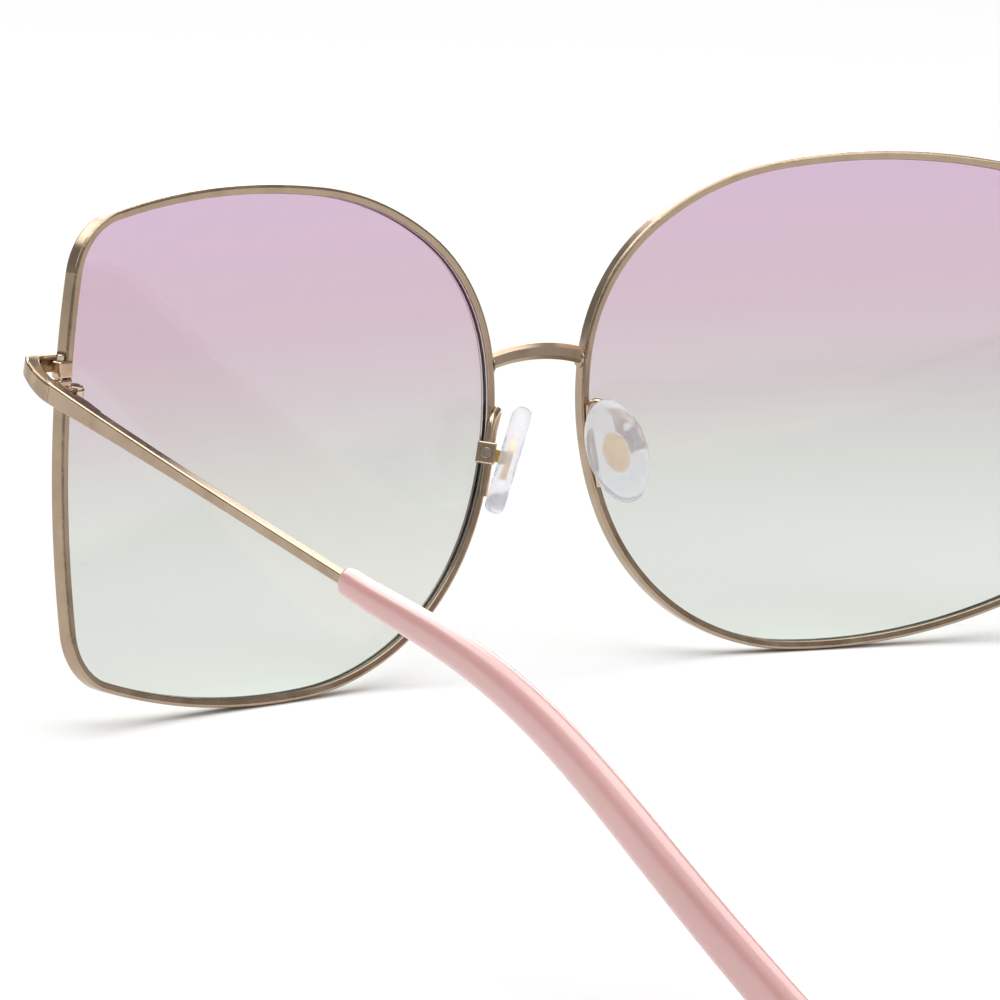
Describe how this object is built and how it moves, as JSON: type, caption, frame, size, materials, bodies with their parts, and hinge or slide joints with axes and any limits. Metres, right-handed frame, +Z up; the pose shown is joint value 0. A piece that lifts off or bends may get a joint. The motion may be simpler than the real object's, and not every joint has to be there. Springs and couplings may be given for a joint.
{
  "type": "cat eye sunglasses",
  "caption": "Metal-framed cat eye sunglasses with thin full rims, large gradient-tinted lenses, rocking nose pads, folding temples and plastic temple tips.",
  "frame": {"origin": "under the middle of the box, on the surface that the rims and the temple tips rest on", "axes": "+X to the wearer's left, +Y from the lenses back towards the ears, +Z up"},
  "size_m": [0.148, 0.1512, 0.0585],
  "materials": {
    "frame_metal": "satin champagne plating",
    "screw_steel": "polished",
    "tinted_lens": "polished, pink at the top fading to clear grey-green",
    "tip_plastic": "satin",
    "pad_brass": "satin",
    "clear_silicone": "clear, glossy"
  },
  "bodies": {
    "front": {"bridge": "frame_metal", "left_rim": "frame_metal", "left_lens": "tinted_lens", "left_rim_lock_upper": "frame_metal", "left_rim_lock_lower": "frame_metal", "left_rim_lock_screw": "screw_steel", "left_end_piece": "frame_metal", "left_hinge_front": "frame_metal", "left_hinge_screw": "screw_steel", "left_pad_arm": "frame_metal", "left_pad_box": "frame_metal", "left_pad_screw": "screw_steel", "right_rim": "frame_metal", "right_lens": "tinted_lens", "right_rim_lock_upper": "frame_metal", "right_rim_lock_lower": "frame_metal", "right_rim_lock_screw": "screw_steel", "right_end_piece": "frame_metal", "right_hinge_front": "frame_metal", "right_hinge_screw": "screw_steel", "right_pad_arm": "frame_metal", "right_pad_box": "frame_metal", "right_pad_screw": "screw_steel"},
    "left_temple": {"left_hinge_rear": "frame_metal", "left_temple": "frame_metal", "left_temple_tip": "tip_plastic"},
    "left_pad": {"left_pad_insert": "pad_brass", "left_nose_pad": "clear_silicone"},
    "right_temple": {"right_hinge_rear": "frame_metal", "right_temple": "frame_metal", "right_temple_tip": "tip_plastic"},
    "right_pad": {"right_pad_insert": "pad_brass", "right_nose_pad": "clear_silicone"}
  },
  "joints": [
    {"name": "left_temple_fold", "type": "hinge", "parent": "front", "child": "left_temple", "pos_m": [0.07122, -0.06039, 0.03846], "axis": [-0.0116, 0.1415, 0.9899], "range_deg": [0, 86]},
    {"name": "right_temple_fold", "type": "hinge", "parent": "front", "child": "right_temple", "pos_m": [-0.07122, -0.06039, 0.03846], "axis": [-0.0116, -0.1415, -0.9899], "range_deg": [0, 80]},
    {"name": "left_pad_rock", "type": "hinge", "parent": "front", "child": "left_pad", "pos_m": [0.00976, -0.06846, 0.02636], "axis": [0.5563, 0.7849, 0.2729], "range_deg": [-2, 13]},
    {"name": "right_pad_rock", "type": "hinge", "parent": "front", "child": "right_pad", "pos_m": [-0.00976, -0.06846, 0.02636], "axis": [0.5563, -0.7849, -0.2729], "range_deg": [-2, 13]}
  ]
}
